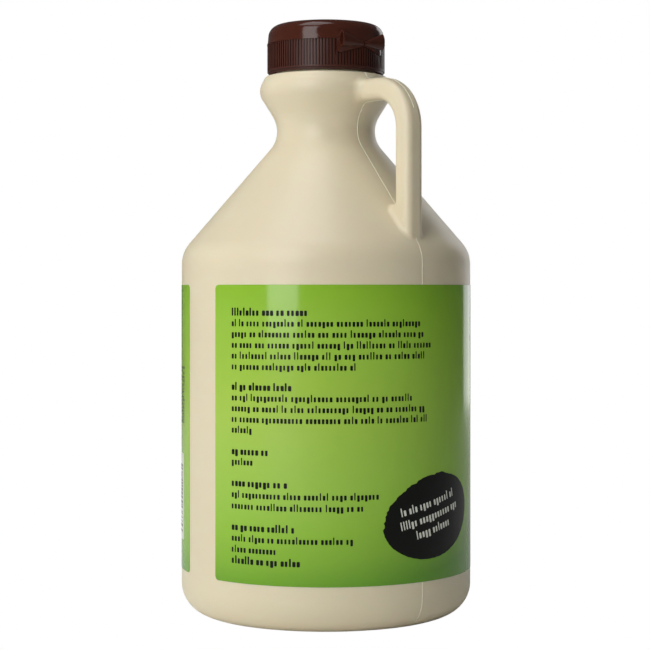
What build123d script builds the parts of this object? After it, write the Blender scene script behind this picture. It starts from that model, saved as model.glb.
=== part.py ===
"""Maple syrup jug: a filled, shut one-litre jug with a loop handle, a flip-top closure and two wrap labels.

Millimetres, +Z up, origin at the middle of the base, the handle towards +X.
The jug and its handle are one blow moulding. The closure is shut and can't be seen into.
"""

import os
from math import pi, radians, tan

from build123d import *

# Jug: the turned body's outside, from the base up, as its outline is before its corners are rounded
body_radius = 50.0
base_corner_radius = 10.4
base_recess_radius = 31.0  # inside this the base is pushed up, so the jug stands on a ring
base_recess_height = 2.2
base_recess_slope = 4.0
base_recess_rounding = 1.0
shoulder_height = 124.3
shoulder_rounding = 11.1
cone_rise = 41.1  # from the shoulder up to the waist
waist_radius = 14.7
waist_rounding = 9.8
flare_rise = 14.6  # from the waist up to the bulge below the closure
bulge_overhang = 2.8  # how far the bulge stands out past the collar
bulge_rounding = 5.4
collar_rise = 5.2  # from the bulge up to the collar
collar_step = 3.7  # how far the collar stands out past the neck
collar_rounding = 1.0
neck_radius = 17.3  # the plain neck inside the closure
neck_height = 9.6

# Handle: a rounded square section that leaves the bulge, bends down and meets the cone
grip_width = 7.4
grip_edge_rounding = 2.4
grip_inset = 3.0  # the grip's outer side lies this far inside the body's
arm_drop = 1.3  # the arm's middle lies this far below the bulge's
bend_radius = 13.8
web_rise = 15.3  # the floor of the finger gap, above the shoulder
web_corner_radius = 1.0
arm_root_rounding = 4.0
foot_rounding = 1.8

# Labels: thin films on the cylinder, symmetrical about the handle's plane
label_thickness = 0.12
label_lift = 5.6  # above the rounding of the base
label_drop = 11.3  # below the shoulder
label_corner_radius = 1.5
back_label_angle = 171.2
label_gap_angle = 19.9

# Closure base: the ribbed ring that is screwed on the neck
closure_wall = 2.8
neck_clearance = 0.3
closure_gap = 0.7  # between the collar and the closure's lower edge
band_height = 0.75  # the tamper band, a narrower ring below the ribbed one
band_inset = 0.5
band_wall = 0.9
band_hollow = 2.0  # above the closure's lower edge, where the wall is thin and open to the neck
closure_deck = 1.3  # the closure's inner top, which lies on the neck
rib_pitch = 1.068
rib_groove_width = 0.45
rib_groove_depth = 0.35
rib_start = 0.6  # plain strip between the tamper band and the ribs

# Closure lid: a smooth disc whose wall leans in
lid_overhang = 0.1
lid_bead_edge = 0.2  # upright edge of the bead round the lid's rim
lid_bead_height = 0.9
lid_bead_reach = 0.25
lid_height = 6.9
lid_lean = 5.0
lid_rounding = 4.0
thumb_lip_width = 13.0
thumb_lip_reach = 1.1
thumb_lip_height = 1.5

# Hinge apron: the smooth part of the lid that hangs over the ribs towards the handle
apron_half_width = 9.8
apron_lobe_depth = 5.0  # how far the apron's two outer corners hang below the lid
apron_arch_depth = 2.3  # and how far its middle does
apron_corner_radius = 1.1
apron_thickness = 1.2
apron_clearance = 0.15

# Hinge wings: two hollow cones that lie along the apron, wide ends outwards
wing_reach = 0.5  # how far the wings stand out past the closure
wing_length = 8.6
wing_gap = 0.8  # between the two narrow ends
wing_end_height = 5.6
wing_end_depth = 3.0
wing_tip_height = 1.5
wing_tip_depth = 1.0
wing_tip_drop = 1.2  # the narrow ends lie this much lower than the wide ones
wing_wall = 0.55
wing_bore_length = 5.0

# Heights, from the base up
waist_height = shoulder_height + cone_rise
bulge_height = waist_height + flare_rise
collar_height = bulge_height + collar_rise
neck_top = collar_height + neck_height
closure_bottom = collar_height + closure_gap
skirt_bottom = closure_bottom + band_height
seam_height = neck_top + closure_deck  # where the lid meets the closure's base
lid_top = seam_height + lid_height
web_top_height = shoulder_height + web_rise
arm_height = bulge_height - arm_drop
label_bottom = base_corner_radius + label_lift
label_top = shoulder_height - label_drop

# Radii and distances from the jug's axis
collar_radius = neck_radius + collar_step
bulge_radius = collar_radius + bulge_overhang
deck_bore_radius = neck_radius + neck_clearance
closure_radius = deck_bore_radius + closure_wall
lid_radius = closure_radius + lid_overhang
grip_outside = body_radius - grip_inset
grip_inside = grip_outside - grip_width


# The loop: an arm, a bend and an upright grip, with a web that fills the corner above the shoulder
with BuildPart() as handle:
    arm_top = arm_height + grip_width / 2
    arm_underside = arm_height - grip_width / 2
    with BuildSketch(Plane.XZ):
        with BuildLine():
            FilletPolyline(
                (waist_radius, arm_top),
                (grip_outside, arm_top),
                (grip_outside, shoulder_height),
                radius=bend_radius + grip_width / 2,
            )
            Polyline(
                (grip_outside, shoulder_height),
                (waist_radius, shoulder_height),
                (waist_radius, web_top_height),
            )
            FilletPolyline(
                (waist_radius, web_top_height),
                (grip_inside, web_top_height),
                (grip_inside, arm_underside),
                (waist_radius, arm_underside),
                radius=[web_corner_radius, bend_radius - grip_width / 2],
            )
            Line((waist_radius, arm_underside), (waist_radius, arm_top))
        make_face()
    extrude(amount=grip_width / 2, both=True)
    fillet(handle.faces().filter_by(Axis.Y).edges(), radius=grip_edge_rounding)


with BuildPart() as jug_body:
    # Turned about +Z, with the seam of the turned faces away from the handle
    with BuildSketch(Plane((0, 0, 0), x_dir=(-1, 0, 0), z_dir=(0, 1, 0))):
        with BuildLine():
            outline = FilletPolyline(
                (0, base_recess_height),
                (base_recess_radius - base_recess_slope, base_recess_height),
                (base_recess_radius, 0),
                (body_radius, 0),
                (body_radius, shoulder_height),
                (waist_radius, waist_height),
                (bulge_radius, bulge_height),
                (collar_radius, collar_height),
                (neck_radius, collar_height),
                radius=[
                    base_recess_slope,
                    base_recess_rounding,
                    base_corner_radius,
                    shoulder_rounding,
                    waist_rounding,
                    bulge_rounding,
                    collar_rounding,
                ],
            )
            Polyline(outline @ 1, (neck_radius, neck_top), (0, neck_top), outline @ 0)
        make_face()
    revolve(axis=Axis.Z)
    turned_body = jug_body.part
    add(handle.part)

    # The handle's roots: where its surfaces run into the turned body
    roots = [
        edge
        for edge in jug_body.edges()
        if edge.bounding_box().min.X > waist_radius / 2
        and edge.bounding_box().max.Y < grip_width / 2 + grip_edge_rounding / 10
        and turned_body.distance_to(Vertex(*edge.position_at(0.5))) < 1e-3
    ]
    fillet([edge for edge in roots if edge.center().Z > waist_height], radius=arm_root_rounding)
    fillet([edge for edge in roots if edge.center().Z < waist_height], radius=foot_rounding)
jug_body.part.label = "jug_body"


def label_film(angle, heading):
    """A label: a film round part of the body, its middle at the given heading, with rounded corners."""
    with BuildPart() as film:
        start = Plane.XZ.rotated((0, 0, heading - angle / 2))
        with BuildSketch(start):
            with Locations((body_radius + label_thickness / 2, (label_bottom + label_top) / 2)):
                Rectangle(label_thickness, label_top - label_bottom)
        revolve(axis=Axis.Z, revolution_arc=angle)
        corners = [edge for edge in film.edges() if edge.length < 2 * label_thickness]
        fillet(corners, radius=label_corner_radius)
    return film


label_back = label_film(back_label_angle, 0)
label_back.part.label = "label_back"
front_label_angle = 360 - back_label_angle - 2 * label_gap_angle
label_front = label_film(front_label_angle, 180)
label_front.part.label = "label_front"


def apron_block(inner_radius, outer_radius, clearance=0.0):
    """The apron's solid: its outline seen from the handle, bent round the closure between two radii."""
    with BuildPart() as block:
        with BuildSketch(Plane.YZ):
            low, top = seam_height - apron_lobe_depth, seam_height + closure_deck
            with BuildLine():
                FilletPolyline(
                    (0, top),
                    (apron_half_width, top),
                    (apron_half_width, low),
                    (0, seam_height - apron_arch_depth),
                    radius=[apron_corner_radius, apron_corner_radius],
                )
                Line((0, seam_height - apron_arch_depth), (0, top))
            make_face()
            mirror(about=Plane.YZ)
            if clearance:
                offset(amount=clearance)
        extrude(amount=outer_radius)
        with BuildSketch(Plane.XY.offset(closure_bottom)):
            Circle(outer_radius)
            Circle(inner_radius, mode=Mode.SUBTRACT)
        extrude(amount=lid_top - closure_bottom, mode=Mode.INTERSECT)
    return block.part


def wing_section(y, middle, height, depth, shrink=0.0):
    """An upright oval across the wing that lies towards +Y. All of them share one outer face."""
    face = closure_radius + wing_reach
    plane = Plane((face - depth / 2, y, middle), x_dir=(1, 0, 0), z_dir=(0, -1, 0))
    with BuildSketch(plane) as section:
        Ellipse(depth / 2 - shrink, height / 2 - shrink)
    return section.sketch


def hinge_wings():
    """Both hinge wings, each hollow from its wide end."""
    wide = wing_gap / 2 + wing_length
    bottom = wide - wing_bore_length
    share = wing_bore_length / wing_length  # how far along the wing its bore reaches
    bottom_middle = seam_height - wing_tip_drop * share
    bottom_height = wing_end_height + (wing_tip_height - wing_end_height) * share
    bottom_depth = wing_end_depth + (wing_tip_depth - wing_end_depth) * share
    with BuildPart() as pair:
        add(wing_section(wing_gap / 2, seam_height - wing_tip_drop, wing_tip_height, wing_tip_depth))
        add(wing_section(wide, seam_height, wing_end_height, wing_end_depth))
        loft()
        add(wing_section(bottom, bottom_middle, bottom_height, bottom_depth, wing_wall))
        add(wing_section(wide, seam_height, wing_end_height, wing_end_depth, wing_wall))
        loft(mode=Mode.SUBTRACT)
        mirror(about=Plane.XZ)
    return pair.part


with BuildPart() as cap_base:
    with BuildSketch(Plane.XY.offset(closure_bottom)):
        Circle(closure_radius - band_inset)
    extrude(amount=band_height)
    with BuildSketch(Plane.XY.offset(skirt_bottom)):
        Circle(closure_radius)
    extrude(amount=seam_height - skirt_bottom)
    with BuildSketch(Plane.XY.offset(closure_bottom)):
        Circle(deck_bore_radius)
    extrude(amount=neck_top - closure_bottom, mode=Mode.SUBTRACT)
    with BuildSketch(Plane.XY.offset(closure_bottom)):
        Circle(closure_radius - band_inset - band_wall)
    extrude(amount=band_hollow, mode=Mode.SUBTRACT)
    with BuildSketch(Plane.XY.offset(skirt_bottom + rib_start)):
        with PolarLocations(closure_radius, round(2 * pi * closure_radius / rib_pitch)):
            Rectangle(2 * rib_groove_depth, rib_groove_width)
    extrude(amount=seam_height - skirt_bottom - rib_start, mode=Mode.SUBTRACT)
    pocket_radius = closure_radius - apron_thickness - apron_clearance
    add(apron_block(pocket_radius, lid_radius + wing_reach, apron_clearance), mode=Mode.SUBTRACT)
cap_base.part.label = "cap_base"

with BuildPart() as cap_lid:
    with BuildSketch(Plane.XZ):
        with BuildLine():
            bead_top = seam_height + lid_bead_height
            wall_radius = lid_radius - lid_bead_reach
            lean = (lid_top - bead_top) * tan(radians(lid_lean))
            rim = Polyline(
                (0, seam_height),
                (lid_radius, seam_height),
                (lid_radius, seam_height + lid_bead_edge),
                (wall_radius, bead_top),
            )
            top = FilletPolyline(
                rim @ 1,
                (wall_radius - lean, lid_top),
                (0, lid_top),
                radius=lid_rounding,
            )
            Line(top @ 1, rim @ 0)
        make_face()
    revolve(axis=Axis.Z)
    add(apron_block(closure_radius - apron_thickness, closure_radius))
    add(hinge_wings())
    # The lip that a thumb lifts, opposite the hinge
    with BuildSketch(Plane.XY.offset(seam_height)):
        with Locations((-lid_radius, 0)):
            RectangleRounded(2 * thumb_lip_reach, thumb_lip_width, thumb_lip_reach * 0.9)
    extrude(amount=thumb_lip_height)
cap_lid.part.label = "cap_lid"

os.makedirs("parts", exist_ok=True)
export_step(jug_body.part, "parts/jug_body.step")
export_step(label_back.part, "parts/label_back.step")
export_step(label_front.part, "parts/label_front.step")
export_step(cap_base.part, "parts/cap_base.step")
export_step(cap_lid.part, "parts/cap_lid.step")
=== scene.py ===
"""Looks of the maple syrup jug: cream blown jug, brown flip-top closure, green wrap labels, their print."""

from math import cos, pi, radians, sin
from random import Random

import bmesh
import bpy
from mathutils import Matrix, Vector


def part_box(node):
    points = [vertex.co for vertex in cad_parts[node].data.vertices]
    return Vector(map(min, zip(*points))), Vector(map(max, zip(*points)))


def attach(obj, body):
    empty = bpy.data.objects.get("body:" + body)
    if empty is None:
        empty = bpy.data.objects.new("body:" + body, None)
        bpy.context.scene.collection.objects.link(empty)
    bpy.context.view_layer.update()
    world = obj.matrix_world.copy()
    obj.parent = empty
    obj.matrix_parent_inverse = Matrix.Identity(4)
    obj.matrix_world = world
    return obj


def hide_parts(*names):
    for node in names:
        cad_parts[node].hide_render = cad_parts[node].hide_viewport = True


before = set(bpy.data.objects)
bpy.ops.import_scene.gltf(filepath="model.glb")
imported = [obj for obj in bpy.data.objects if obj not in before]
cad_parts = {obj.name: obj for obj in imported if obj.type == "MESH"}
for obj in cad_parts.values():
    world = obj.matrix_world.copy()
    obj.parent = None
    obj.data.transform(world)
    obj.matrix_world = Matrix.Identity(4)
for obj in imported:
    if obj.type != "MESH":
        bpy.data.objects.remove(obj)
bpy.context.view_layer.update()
MM = 0.001

# ---------------------------------------------------------------- the jug
# One blow moulding of natural-cream high-density polyethylene, handle and all. The CAD solid has its
# true shape, so it stays, and gets its plastic here. The parting line is where the two halves of the
# mould met: a raised thread of flash all round the jug and its handle.


def linear(hex_colour):
    """An sRGB hex colour as the linear colour that a shader socket takes."""
    channels = [int(hex_colour[i : i + 2], 16) / 255 for i in (1, 3, 5)]
    return [*(c / 12.92 if c <= 0.04045 else ((c + 0.055) / 1.055) ** 2.4 for c in channels), 1.0]


def add_node(material, kind, links=(), **settings):
    """Adds a shader node. Settings name its properties or sockets, and a link is (node, output, input)."""
    tree = material.node_tree
    node = tree.nodes.new(kind)
    for name, value in settings.items():
        if hasattr(node, name):
            setattr(node, name, value)
        else:
            node.inputs[name.replace("_", " ")].default_value = value
    for source, output, socket in links:
        tree.links.new(source.outputs[output], node.inputs[socket])
    return node


def new_material(name):
    """An empty node material and its output node."""
    material = bpy.data.materials.new(name)
    material.use_nodes = True
    material.node_tree.nodes.clear()
    return material, add_node(material, "ShaderNodeOutputMaterial")


# Blow-moulded HDPE: a waxy half-gloss, with a little light in its depth and a faint orange-peel surface
# left by the sand-blasted mould. Its tint and gloss drift slowly with the thickness of the wall.
peel_size = 1.5 * MM
drift_size = 35 * MM
jug_plastic, jug_output = new_material("hdpe_blow_moulded")
place = add_node(jug_plastic, "ShaderNodeTexCoord")
peel = add_node(
    jug_plastic, "ShaderNodeTexNoise", [(place, "Object", "Vector")], Scale=1 / peel_size, Detail=2.0
)
drift = add_node(
    jug_plastic, "ShaderNodeTexNoise", [(place, "Object", "Vector")], Scale=1 / drift_size, Detail=2.0
)
# A Mix node's two colours are its inputs 6 and 7, and the mixed colour is its output 2
tint = add_node(jug_plastic, "ShaderNodeMix", [(drift, "Fac", 0)], data_type="RGBA")
tint.inputs[6].default_value = linear("#E3D7B8")
tint.inputs[7].default_value = linear("#E8DCBE")
gloss = add_node(
    jug_plastic, "ShaderNodeMapRange", [(drift, "Fac", "Value")], To_Min=0.34, To_Max=0.42
)
waviness = add_node(
    jug_plastic, "ShaderNodeBump", [(drift, "Fac", "Height")], Strength=0.25, Distance=0.6 * MM
)
grain = add_node(
    jug_plastic,
    "ShaderNodeBump",
    [(peel, "Fac", "Height"), (waviness, "Normal", "Normal")],
    Strength=0.12,
    Distance=0.03 * MM,
)
hdpe = add_node(
    jug_plastic,
    "ShaderNodeBsdfPrincipled",
    [(tint, 2, "Base Color"), (gloss, "Result", "Roughness"), (grain, "Normal", "Normal")],
    IOR=1.54,
    Subsurface_Weight=0.12,
    Subsurface_Scale=1.0 * MM,
)
jug_plastic.node_tree.links.new(hdpe.outputs["BSDF"], jug_output.inputs["Surface"])

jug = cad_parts["jug_body"]
jug.material_slots[0].material = jug_plastic


def deselect():
    """Leaves edit mode and clears the selection, which an operator would otherwise act on."""
    if bpy.context.object and bpy.context.object.mode != "OBJECT":
        bpy.ops.object.mode_set(mode="OBJECT")
    bpy.ops.object.select_all(action="DESELECT")


def activate(piece):
    """Makes one piece the only selected one."""
    deselect()
    piece.select_set(True)
    bpy.context.view_layer.objects.active = piece


def finished(piece, name, material):
    """Names a piece, bakes its place into its mesh, gives it its material and lets it ride with the jug."""
    activate(piece)
    bpy.ops.object.transform_apply(location=True, rotation=True, scale=True)
    piece.name = name
    piece.data.name = name
    piece.data.materials.clear()
    piece.data.materials.append(material)
    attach(piece, "root")
    return piece


merge_distance = 0.002 * MM


def copy_of(node):
    """A merged copy of a CAD node's mesh, open in edit mode with all of it selected."""
    copy = node.copy()
    copy.data = node.data.copy()
    copy.parent = None
    for key in list(copy.keys()):
        del copy[key]
    bpy.context.scene.collection.objects.link(copy)
    activate(copy)
    bpy.ops.mesh.customdata_custom_splitnormals_clear()
    bpy.ops.object.mode_set(mode="EDIT")
    bpy.ops.mesh.select_all(action="SELECT")
    bpy.ops.mesh.remove_doubles(threshold=merge_distance)
    return copy


# The flash: the jug's outline in the plane of its handle, as a thread half sunk in the surface, from low
# on the base's rounding to just below the closure
flash_radius = 0.14 * MM
flash_start = 2.4 * MM
flash_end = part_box("cap_base")[0].z - 0.9 * MM
flash = copy_of(jug)
bpy.ops.mesh.bisect(plane_co=(0, 0, 0), plane_no=(0, 1, 0), clear_inner=True, clear_outer=True)
bpy.ops.mesh.select_all(action="SELECT")
bpy.ops.mesh.bisect(plane_co=(0, 0, flash_start), plane_no=(0, 0, 1), clear_inner=True)
bpy.ops.mesh.select_all(action="SELECT")
bpy.ops.mesh.bisect(plane_co=(0, 0, flash_end), plane_no=(0, 0, 1), clear_outer=True)
# The labels cover the flash on the cylinder, and it is trimmed off the grip's outer face where a hand
# holds it, so the thread is left out in both places
grip_face = 45.5 * MM
trimmed_above, trimmed_below = 134 * MM, 177 * MM
height_slack = 0.001 * MM
label_low, label_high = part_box("label_back")
bpy.ops.mesh.select_all(action="SELECT")
for height in (label_low.z, label_high.z, trimmed_below):
    bpy.ops.mesh.bisect(plane_co=(0, 0, height), plane_no=(0, 0, 1))
    bpy.ops.mesh.select_all(action="SELECT")
edit = bmesh.from_edit_mesh(flash.data)
for edge in edit.edges:
    heights = [vert.co.z for vert in edge.verts]
    under_label = label_low.z - height_slack < min(heights) and max(heights) < label_high.z + height_slack
    on_face = min(vert.co.x for vert in edge.verts) > grip_face
    trimmed = trimmed_above < max(heights) < trimmed_below + height_slack
    edge.select = under_label or (on_face and trimmed)
bpy.ops.mesh.delete(type="EDGE")
bpy.ops.object.mode_set(mode="OBJECT")
bpy.ops.object.convert(target="CURVE")
flash.data.bevel_depth = flash_radius
flash.data.bevel_resolution = 1
flash.data.use_fill_caps = True
bpy.ops.object.convert(target="MESH")
# HDPE squeezed thin between the mould halves: the jug's plastic, paler because light passes through it
flash_plastic = jug_plastic.copy()
flash_plastic.name = "hdpe_flash"
for node in flash_plastic.node_tree.nodes:
    if node.type == "MIX":
        node.inputs[6].default_value = linear("#EEE5CB")
        node.inputs[7].default_value = linear("#F2EAD3")
finished(flash, "jug_parting_line", flash_plastic)

# ---------------------------------------------------------------- the label films
# Two wraps of glossy polypropylene film, printed green and stuck to the cylinder, one under the handle
# and one on the far side, with a bare strip between them on each side. Each is laid out flat, then bent
# round the jug.
body_radius = 50 * MM
film_depth = 0.09 * MM
film_corner = 1.5 * MM
ink_depth = 0.03 * MM
handle_heading, far_heading = 0, 180
crease_angle = radians(40)


def flat_sheet(width, height, middle, columns=1):
    """A flat rectangle in the XZ plane that faces -Y, centred on a point (along, up)."""
    deselect()
    bpy.ops.mesh.primitive_grid_add(
        x_subdivisions=columns, y_subdivisions=1, size=1.0, rotation=(pi / 2, 0, 0)
    )
    sheet = bpy.context.object
    sheet.location = (middle[0], 0, middle[1])
    sheet.scale = (width, height, 1.0)
    bpy.ops.object.transform_apply(location=True, rotation=True, scale=True)
    return sheet


def round_corners(sheet, radius, segments):
    """Rounds the four outer corners of a flat sheet."""
    xs = [vert.co.x for vert in sheet.data.vertices]
    zs = [vert.co.z for vert in sheet.data.vertices]
    activate(sheet)
    bpy.ops.object.mode_set(mode="EDIT")
    bpy.ops.mesh.select_mode(type="VERT")
    bpy.ops.mesh.select_all(action="DESELECT")
    edit = bmesh.from_edit_mesh(sheet.data)
    for vert in edit.verts:
        vert.select = vert.co.x in (min(xs), max(xs)) and vert.co.z in (min(zs), max(zs))
    edit.select_flush_mode()
    bmesh.update_edit_mesh(sheet.data)
    bpy.ops.mesh.bevel(offset=radius, segments=segments, affect="VERTICES")
    bpy.ops.object.mode_set(mode="OBJECT")


def cut_into_columns(sheet, step):
    """Cuts a flat sheet upright at every step along, so that it bends smoothly."""
    activate(sheet)
    xs = [vert.co.x for vert in sheet.data.vertices]
    cuts = int((max(xs) - min(xs)) / step)
    bpy.ops.object.mode_set(mode="EDIT")
    for cut in range(1, cuts + 1):
        bpy.ops.mesh.select_all(action="SELECT")
        along = min(xs) + (max(xs) - min(xs)) * cut / (cuts + 1)
        bpy.ops.mesh.bisect(plane_co=(along, 0, 0), plane_no=(1, 0, 0))
    bpy.ops.object.mode_set(mode="OBJECT")


def wrap(piece, radius, heading, depth):
    """Bends a flat piece round the jug's axis and gives it its depth outwards.

    What was at X = 0 comes to lie at the heading, in degrees from +X.
    """
    activate(piece)
    across = [vert.co.x for vert in piece.data.vertices]
    bend = piece.modifiers.new("wrap", "SIMPLE_DEFORM")
    bend.deform_method = "BEND"
    bend.deform_axis = "Z"
    bend.angle = (max(across) - min(across)) / radius
    wall = piece.modifiers.new("depth", "SOLIDIFY")
    wall.thickness = depth
    wall.offset = 1.0
    bpy.ops.object.modifier_apply(modifier=bend.name)
    bpy.ops.object.modifier_apply(modifier=wall.name)
    piece.location = (0, -radius, 0)
    bpy.ops.object.transform_apply(location=True, rotation=False, scale=False)
    piece.rotation_euler = (0, 0, radians(heading + 90))
    bpy.ops.object.transform_apply(location=False, rotation=True, scale=False)
    bpy.ops.object.shade_smooth_by_angle(angle=crease_angle)
    return piece


# Printed polypropylene film: smooth and glossy. Its ink is a yellow-green that is lightest round a point
# near half height, deeper green with distance from it and wider round the jug than it is tall. This is
# partly a lighter band printed at half height and partly painted light, since the point lies on the side
# that faces the key soft box.
# The film is faintly wavy where air and glue lie behind it.
label_film, film_output = new_material("polypropylene_film_printed")
# The lightest point faces the key soft box, so the green there is painted light as well as print
painted_light_heading = radians(-70)
band_and_light_height = 72 * MM
band_and_light_reach = 72 * MM
band_and_light_squeeze_round, band_and_light_squeeze_up = 0.55, 1.2
ripple_size = 14 * MM
film_place = add_node(label_film, "ShaderNodeTexCoord")
film_stretch = add_node(
    label_film, "ShaderNodeVectorMath", [(film_place, "Object", 0)], operation="MULTIPLY"
)
film_stretch.inputs[1].default_value = (band_and_light_squeeze_round, band_and_light_squeeze_round, band_and_light_squeeze_up)
film_distance = add_node(
    label_film, "ShaderNodeVectorMath", [(film_stretch, "Vector", 0)], operation="DISTANCE"
)
film_distance.inputs[1].default_value = (
    band_and_light_squeeze_round * body_radius * cos(painted_light_heading),
    band_and_light_squeeze_round * body_radius * sin(painted_light_heading),
    band_and_light_squeeze_up * band_and_light_height,
)
film_spread = add_node(
    label_film, "ShaderNodeMapRange", [(film_distance, "Value", "Value")], From_Min=0.0, From_Max=band_and_light_reach
)
# The ramp runs from the printed band and painted light at the lightest point to deeper green away from it
film_green_and_painted_light = add_node(label_film, "ShaderNodeValToRGB", [(film_spread, "Result", "Fac")])
film_green_and_painted_light.color_ramp.elements[0].color = linear("#AACD4E")
film_green_and_painted_light.color_ramp.elements[1].color = linear("#5F9A19")
for share, colour in ((0.49, "#9BC845"), (0.69, "#90C135"), (0.83, "#84B62E")):
    film_green_and_painted_light.color_ramp.elements.new(share).color = linear(colour)
film_ripple = add_node(
    label_film, "ShaderNodeTexNoise", [(film_place, "Object", "Vector")], Scale=1 / ripple_size, Detail=1.0
)
film_bump = add_node(
    label_film, "ShaderNodeBump", [(film_ripple, "Fac", "Height")], Strength=0.15, Distance=0.1 * MM
)
film = add_node(
    label_film,
    "ShaderNodeBsdfPrincipled",
    [(film_green_and_painted_light, "Color", "Base Color"), (film_bump, "Normal", "Normal")],
    Roughness=0.13,
    IOR=1.49,
)
label_film.node_tree.links.new(film.outputs["BSDF"], film_output.inputs["Surface"])

label_gap = radians(19.9)
back_span = radians(171.2)
front_span = 2 * pi - back_span - 2 * label_gap
label_height = label_high.z - label_low.z
label_middle = (label_high.z + label_low.z) / 2
for node, span, heading in (
    ("label_back", back_span, handle_heading),
    ("label_front", front_span, far_heading),
):
    sheet = flat_sheet(span * body_radius, label_height, (0, label_middle))
    round_corners(sheet, film_corner, segments=6)
    cut_into_columns(sheet, step=1.2 * MM)
    wrap(sheet, body_radius, heading, film_depth)
    finished(sheet, node + "_film", label_film)
    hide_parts(node)

# ---------------------------------------------------------------- the small print
# Rows of small upright blocks in near-black flexographic ink, grouped like words, with bolder ones as
# headings. They stand for paragraphs of small print and say nothing. Each block is modelled once and
# copied.
chance = Random(11)
film_radius = body_radius + film_depth
word_gap = 0.75 * MM
word_lengths = (2, 2, 3, 4, 5, 6, 7, 9, 11)
# How often each of the four blocks comes up
block_shares = (9, 6, 4, 2)
# The ink rounds each block's corners by this share of its lesser side
block_rounding = 0.28
# A block wider than this is cut into columns, so that it bends with the jug
stiff_width = 1.5 * MM


def print_blocks(tall, wide, stem, pitch):
    """The four blocks that one size of print is made of, and its pitch.

    They are a plain one, a narrower one, a stem that rises above the row, and one that drops below it.
    """
    shapes = (
        (wide, tall, 0),
        (0.8 * wide, tall, 0),
        (stem, 1.5 * tall, 0.25 * tall),
        (wide, 1.3 * tall, -0.15 * tall),
    )
    blocks = []
    for width, height, shift in shapes:
        block = flat_sheet(width, height, (width / 2, shift))
        round_corners(block, block_rounding * min(width, height), segments=2)
        if width > stiff_width:
            cut_into_columns(block, step=1.0 * MM)
        blocks.append(block)
    return blocks, pitch


def copied(piece, location):
    """A copy of a flat piece with its own mesh, put down at a place on the flat label."""
    copy = piece.copy()
    copy.data = piece.data.copy()
    copy.location = location
    bpy.context.scene.collection.objects.link(copy)
    return copy


def joined(pieces):
    """Joins pieces into the first of them."""
    deselect()
    for piece in pieces:
        piece.select_set(True)
    bpy.context.view_layer.objects.active = pieces[0]
    bpy.ops.object.join()
    bpy.ops.object.transform_apply(location=True, rotation=True, scale=True)
    return pieces[0]


def row_of_print(kind, left, height, length):
    """Fills a row from its left end with groups of blocks until its length is used up."""
    blocks, pitch = kind
    stem = blocks[2]
    row = []
    along = left
    while left + length - along > 1.5 * pitch:
        room = int((left + length - along) / pitch)
        group = min(chance.choice(word_lengths), room)
        for _ in range(group):
            block = chance.choices(blocks, block_shares)[0]
            row.append(copied(block, (along, 0, height)))
            along += pitch * (0.75 if block is stem else 1.0)
        along += word_gap
    return row


# Near-black flexographic ink, thin and a little glossy, mottled as it dries on the film
ink_mottle = 0.8 * MM
print_ink, ink_output = new_material("flexographic_ink_black")
ink_place = add_node(print_ink, "ShaderNodeTexCoord")
ink_grain = add_node(
    print_ink, "ShaderNodeTexNoise", [(ink_place, "Object", "Vector")], Scale=1 / ink_mottle, Detail=1.0
)
ink_gloss = add_node(
    print_ink, "ShaderNodeMapRange", [(ink_grain, "Fac", "Value")], To_Min=0.25, To_Max=0.4
)
ink = add_node(
    print_ink,
    "ShaderNodeBsdfPrincipled",
    [(ink_gloss, "Result", "Roughness")],
    Base_Color=linear("#0A0D08"),
    IOR=1.49,
    Specular_IOR_Level=0.2,
)
print_ink.node_tree.links.new(ink.outputs["BSDF"], ink_output.inputs["Surface"])

plain_print = print_blocks(tall=1.6 * MM, wide=0.85 * MM, stem=0.42 * MM, pitch=1.28 * MM)
bold_print = print_blocks(tall=1.75 * MM, wide=1.1 * MM, stem=0.6 * MM, pitch=1.42 * MM)
text_left = radians(-76.8) * film_radius
# Each paragraph in mm: its heading's height and length, the drop from row to row, and the lengths of
# its rows
paragraphs = (
    (103.8, 28, 3.52, (68, 68, 71.6, 70, 44)),
    (79.6, 23.4, 3.5, (65.6, 69, 70.8, 9.6)),
    (58.6, 15, 3.4, (11,)),
    (48.3, 21.8, 3.7, (51.3, 46.2)),
    (34.0, 24.5, 3.6, (43.2, 17.2)),
    (23.2, 25.5, 3.5, ()),
)
marks = []
for top, heading_length, drop, rows in paragraphs:
    marks += row_of_print(bold_print, text_left, top * MM, heading_length * MM)
    for number, length in enumerate(rows, 1):
        marks += row_of_print(plain_print, text_left, (top - drop * number) * MM, length * MM)
back_print = wrap(joined(marks), film_radius, handle_heading, ink_depth)
finished(back_print, "label_back_print", print_ink)

# ---------------------------------------------------------------- the pebble marks
# A black brushed pebble on each label, printed over the green, with a few off-white strokes across it
# that rise to the right: the shape of a slogan with no words in it.

# How far the brush strays from the oval, as a share of its height, on its clean edge and its dry one
clean_stray, dry_stray = 0.003, 0.011
# How much the dry shoulder is flattened, as a share of the distance from the middle
shoulder_drop = 0.04


def pebble(width, tall, middle, lean):
    """A flat brushed oval, ragged and with a flattened shoulder at upper left, where the brush ran dry."""
    deselect()
    bpy.ops.mesh.primitive_circle_add(vertices=120, radius=1.0, fill_type="NGON", rotation=(pi / 2, 0, 0))
    oval = bpy.context.object
    oval.scale = (width / 2, tall / 2, 1.0)
    bpy.ops.object.transform_apply(location=False, rotation=True, scale=True)
    rim = Random(5)
    for vert in oval.data.vertices:
        dry = vert.co.x < 0.2 * width and vert.co.z > 0
        stray = tall * (dry_stray if dry else clean_stray)
        vert.co += vert.co.normalized() * rim.uniform(-stray, stray)
        if dry:
            off_shoulder = abs(vert.co.normalized().x * 2**0.5 + 1)
            vert.co *= 1 - shoulder_drop * (1 - off_shoulder)
    oval.rotation_euler = (0, -radians(lean), 0)
    oval.location = (middle[0], 0, middle[1])
    bpy.ops.object.transform_apply(location=True, rotation=True, scale=True)
    cut_into_columns(oval, step=1.5 * MM)
    return oval


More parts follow.
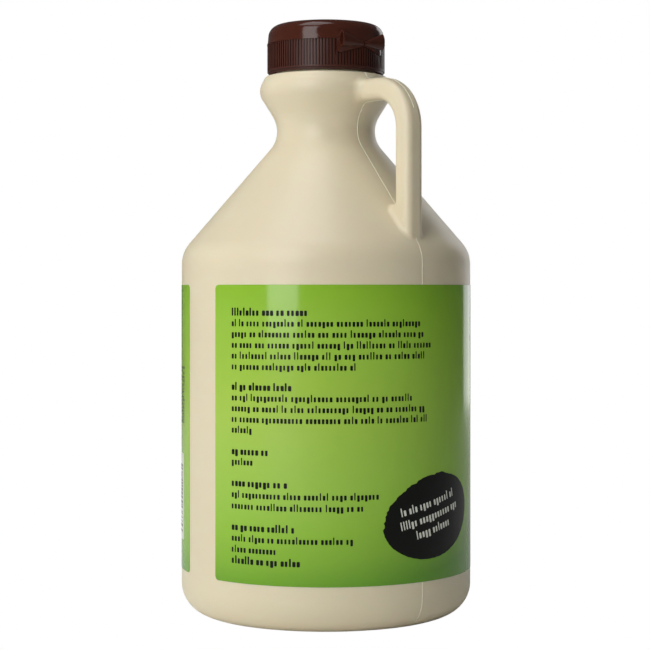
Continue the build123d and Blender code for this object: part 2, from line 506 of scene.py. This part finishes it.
# Off-white flexographic ink, thin and a little glossy, mottled as it dries on the film
white_mottle = 1.0 * MM
white_ink, white_output = new_material("flexographic_ink_white")
white_place = add_node(white_ink, "ShaderNodeTexCoord")
white_grain = add_node(
    white_ink, "ShaderNodeTexNoise", [(white_place, "Object", "Vector")], Scale=1 / white_mottle, Detail=1.0
)
white_gloss = add_node(
    white_ink, "ShaderNodeMapRange", [(white_grain, "Fac", "Value")], To_Min=0.25, To_Max=0.4
)
pale = add_node(
    white_ink,
    "ShaderNodeBsdfPrincipled",
    [(white_gloss, "Result", "Roughness")],
    Base_Color=linear("#E4E6DA"),
    IOR=1.49,
)
white_ink.node_tree.links.new(pale.outputs["BSDF"], white_output.inputs["Surface"])

small_strokes = print_blocks(tall=1.9 * MM, wide=0.85 * MM, stem=0.45 * MM, pitch=1.4 * MM)
large_strokes = print_blocks(tall=3.6 * MM, wide=12.5 * MM, stem=7.0 * MM, pitch=14.5 * MM)


def slogan(kind, middle, lean, spacing, lengths):
    """Off-white rows across a pebble, each centred and rising to the right."""
    rows = []
    for number, length in enumerate(lengths):
        offset = ((len(lengths) - 1) / 2 - number) * spacing
        row = joined(row_of_print(kind, -length / 2, offset, length))
        row.rotation_euler = (0, -radians(lean), 0)
        row.location = (middle[0], 0, middle[1])
        rows.append(row)
    return joined(rows)


back_pebble = (radians(6.3) * film_radius, 37.1 * MM)
front_pebble = (0, 82 * MM)
# Each pebble's place, size and lean in degrees, then its strokes: how long, how far apart and of which
# blocks
pebbles = (
    ("label_back", handle_heading, back_pebble, 42, 27.2, 9, (27, 29, 18), 4.4, small_strokes),
    ("label_front", far_heading, front_pebble, 78, 44, 6, (44, 44, 30), 8.5, large_strokes),
)
# The strokes rise a little more steeply than the pebble leans
stroke_rise = 3
for name, heading, middle, width, tall, lean, lengths, spacing, kind in pebbles:
    oval = pebble(width * MM, tall * MM, middle, lean)
    shape = wrap(oval, film_radius, heading, ink_depth / 2)
    finished(shape, name + "_pebble", print_ink)
    row_lengths = [length * MM for length in lengths]
    strokes = slogan(kind, middle, lean + stroke_rise, spacing * MM, row_lengths)
    wrap(strokes, film_radius + ink_depth / 2, heading, ink_depth / 2)
    finished(strokes, name + "_pebble_strokes", white_ink)

# ---------------------------------------------------------------- the front label's code field and rows
# A white field of upright bars near the front label's edge, small print turned on its side above it,
# and two rows of bold bars under the pebble.
code_along, code_up = 45.5 * MM, 40.8 * MM
code_width, code_height = 23.6 * MM, 29.5 * MM
code_margin, code_top_margin = 2.5 * MM, 3 * MM
field = flat_sheet(code_width, code_height, (code_along, code_up))
round_corners(field, 0.6 * MM, segments=3)
cut_into_columns(field, step=1.5 * MM)
wrap(field, film_radius, far_heading, ink_depth / 2)
finished(field, "label_front_code_field", white_ink)

# Bars and the gaps between them are one to three modules thick, at random, so they encode nothing
module = 0.33 * MM
thicknesses = (1, 1, 2, 3)
bars = []
level = code_up - code_height / 2 + code_margin
while level < code_up + code_height / 2 - code_top_margin:
    thick = module * chance.choice(thicknesses)
    bar_middle = (code_along, level + thick / 2)
    bars.append(flat_sheet(code_width - 2 * code_margin, thick, bar_middle, columns=12))
    level += thick + module * chance.choice(thicknesses)
codes = wrap(joined(bars), film_radius + ink_depth / 2, far_heading, ink_depth / 2)
finished(codes, "label_front_code_bars", print_ink)

# In mm: where each turned row stands, and the height and length of each bold row
turned_places = (51.0, 54.2, 57.4)
turned_foot, turned_length = 66 * MM, 21 * MM
bold_rows = ((50.0, 44), (43.0, 30))
front_rows = []
for along in turned_places:
    row = joined(row_of_print(plain_print, 0, 0, turned_length))
    row.rotation_euler = (0, -pi / 2, 0)
    row.location = (along * MM, 0, turned_foot)
    front_rows.append(row)
for height, length in bold_rows:
    front_rows += row_of_print(bold_print, -length / 2 * MM, height * MM, length * MM)
front_print = wrap(joined(front_rows), film_radius, far_heading, ink_depth)
finished(front_print, "label_front_print", print_ink)

# Every block of print is a copy by now, so the first of each goes
for blocks, _ in (plain_print, bold_print, small_strokes, large_strokes):
    for block in blocks:
        bpy.data.objects.remove(block)

# ---------------------------------------------------------------- the closure
# A flip-top closure moulded in one piece from brown polypropylene: a ribbed skirt on its tamper band, a
# lid on a butterfly hinge. The CAD solids have its true shape, and get their plastic here.

# Injection-moulded PP: glossy from a polished mould, with soft flow marks
flow_size = 6 * MM
closure_plastic, closure_output = new_material("pp_injection_moulded_brown")
closure_place = add_node(closure_plastic, "ShaderNodeTexCoord")
flow = add_node(
    closure_plastic,
    "ShaderNodeTexNoise",
    [(closure_place, "Object", "Vector")],
    Scale=1 / flow_size,
    Detail=2.0,
)
closure_tint = add_node(closure_plastic, "ShaderNodeMix", [(flow, "Fac", 0)], data_type="RGBA")
closure_tint.inputs[6].default_value = linear("#431F16")
closure_tint.inputs[7].default_value = linear("#4A2418")
closure_gloss = add_node(
    closure_plastic, "ShaderNodeMapRange", [(flow, "Fac", "Value")], To_Min=0.10, To_Max=0.15
)
closure_bump = add_node(
    closure_plastic, "ShaderNodeBump", [(flow, "Fac", "Height")], Strength=0.15, Distance=0.05 * MM
)
pp = add_node(
    closure_plastic,
    "ShaderNodeBsdfPrincipled",
    [
        (closure_tint, 2, "Base Color"),
        (closure_gloss, "Result", "Roughness"),
        (closure_bump, "Normal", "Normal"),
    ],
    IOR=1.49,
    Specular_IOR_Level=0.35,
)
closure_plastic.node_tree.links.new(pp.outputs["BSDF"], closure_output.inputs["Surface"])
# The skirt's ribs come from a spark-eroded mould, so they are duller than the polished lid. The grooves
# between them are darkened towards near-black with painted shade, which an ambient-occlusion node works out
groove_shade_reach = 0.7 * MM
ribbed_plastic = closure_plastic.copy()
ribbed_plastic.name = "pp_injection_moulded_brown_dull"
ribbed_nodes = {node.type: node for node in ribbed_plastic.node_tree.nodes}
ribbed_nodes["MAP_RANGE"].inputs["To Min"].default_value = 0.36
ribbed_nodes["MAP_RANGE"].inputs["To Max"].default_value = 0.44
# Painted shade: ambient occlusion darkens the skirt's colour in the grooves between the ribs, where shade
# falls
groove_occlusion = add_node(ribbed_plastic, "ShaderNodeAmbientOcclusion", samples=8, Distance=groove_shade_reach)
painted_groove_shade = add_node(
    ribbed_plastic,
    "ShaderNodeMapRange",
    [(groove_occlusion, "AO", "Value")],
    From_Min=0.35,
    From_Max=0.95,
    To_Min=0.25,
)
groove_shade_tint = add_node(
    ribbed_plastic,
    "ShaderNodeMix",
    [(painted_groove_shade, "Result", 0), (ribbed_nodes["MIX"], 2, 7)],
    data_type="RGBA",
)
# The near-black colour of the painted shade in the grooves
groove_shade_tint.inputs[6].default_value = linear("#0A0403")
ribbed_plastic.node_tree.links.new(
    groove_shade_tint.outputs[2], ribbed_nodes["BSDF_PRINCIPLED"].inputs["Base Color"]
)
# No moulded edge is knife-sharp, so those that turn by more than this angle are softened
edge_rounding = 0.09 * MM
sharp_angle = radians(35)
for node, plastic in (("cap_base", ribbed_plastic), ("cap_lid", closure_plastic)):
    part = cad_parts[node]
    part.material_slots[0].material = plastic
    weld = part.modifiers.new("weld", "WELD")
    weld.merge_threshold = merge_distance
    edge = part.modifiers.new("softened edges", "BEVEL")
    edge.width = edge_rounding
    edge.segments = 2
    edge.limit_method = "ANGLE"
    edge.angle_limit = sharp_angle

# ---------------------------------------------------------------- floor, light and camera
# A plain white sweep and four soft boxes: a key to the left of the camera, a broad fill further round,
# a small one overhead, and a weak one behind on the right that lights the jug's edge.
backdrop, backdrop_output = new_material("backdrop_white")
paper = add_node(backdrop, "ShaderNodeBsdfDiffuse", Color=(0.9, 0.9, 0.9, 1.0))
glow = add_node(backdrop, "ShaderNodeEmission", Color=(1.0, 1.0, 1.0, 1.0), Strength=1.0)
rays = add_node(backdrop, "ShaderNodeLightPath")
shown = add_node(
    backdrop, "ShaderNodeMixShader", [(rays, "Is Camera Ray", 0), (paper, 0, 1), (glow, 0, 2)]
)
backdrop.node_tree.links.new(shown.outputs[0], backdrop_output.inputs["Surface"])
deselect()
# The floor lies a tenth of a millimetre under the jug, so that the two never share a surface
bpy.ops.mesh.primitive_plane_add(size=4.0, location=(0, 0, -0.1 * MM))
floor = bpy.context.object
floor.name = "floor"
floor.data.materials.append(backdrop)

world = bpy.data.worlds.new("studio")
bpy.context.scene.world = world
world.use_nodes = True
world.node_tree.nodes.clear()
sky = add_node(world, "ShaderNodeBackground", Color=(1.0, 1.0, 1.0, 1.0), Strength=0.10)
sky_white = add_node(world, "ShaderNodeBackground", Color=(1.0, 1.0, 1.0, 1.0), Strength=1.0)
sky_rays = add_node(world, "ShaderNodeLightPath")
sky_mix = add_node(
    world, "ShaderNodeMixShader", [(sky_rays, "Is Camera Ray", 0), (sky, 0, 1), (sky_white, 0, 2)]
)
sky_output = add_node(world, "ShaderNodeOutputWorld", [(sky_mix, 0, "Surface")])

view_azimuth = radians(51)
view_distance = 0.630
eye_height = 0.1116
lit_point = Vector((0, 0, 0.11))


def soft_box(name, turn, height, distance, width, tall, watts):
    """A rectangular lamp that looks at the middle of the jug, so many degrees to the left of the camera."""
    angle = view_azimuth - radians(turn)
    location = Vector((sin(angle) * distance, -cos(angle) * distance, height))
    lamp = bpy.data.lights.new(name, "AREA")
    lamp.shape = "RECTANGLE"
    lamp.size, lamp.size_y, lamp.energy = width, tall, watts
    holder = bpy.data.objects.new(name, lamp)
    bpy.context.scene.collection.objects.link(holder)
    holder.location = location
    holder.rotation_euler = (lit_point - location).to_track_quat("-Z", "Y").to_euler()
    return holder


soft_box("key_soft_box", turn=33, height=0.45, distance=0.85, width=0.42, tall=0.80, watts=4.3)
left_fill = soft_box("left_fill", turn=100, height=0.30, distance=1.1, width=1.1, tall=1.0, watts=4.4)
# The fill only lifts the shade, and mirrors no second window in the glossy lid
left_fill.visible_glossy = False
soft_box("overhead", turn=50, height=1.10, distance=0.30, width=0.6, tall=0.6, watts=3.4)
soft_box("right_rim", turn=-150, height=0.30, distance=1.1, width=0.5, tall=0.8, watts=1.6)

lens = bpy.data.cameras.new("camera")
lens.lens = 100.3
lens.sensor_width = 36.0
lens.shift_x = -0.00154
lens.shift_y = -0.05538
camera = bpy.data.objects.new("camera", lens)
bpy.context.scene.collection.objects.link(camera)
camera.location = (view_distance * sin(view_azimuth), -view_distance * cos(view_azimuth), eye_height)
camera.rotation_euler = (pi / 2, 0, view_azimuth)
bpy.context.scene.camera = camera
bpy.context.scene.view_settings.view_transform = "Standard"
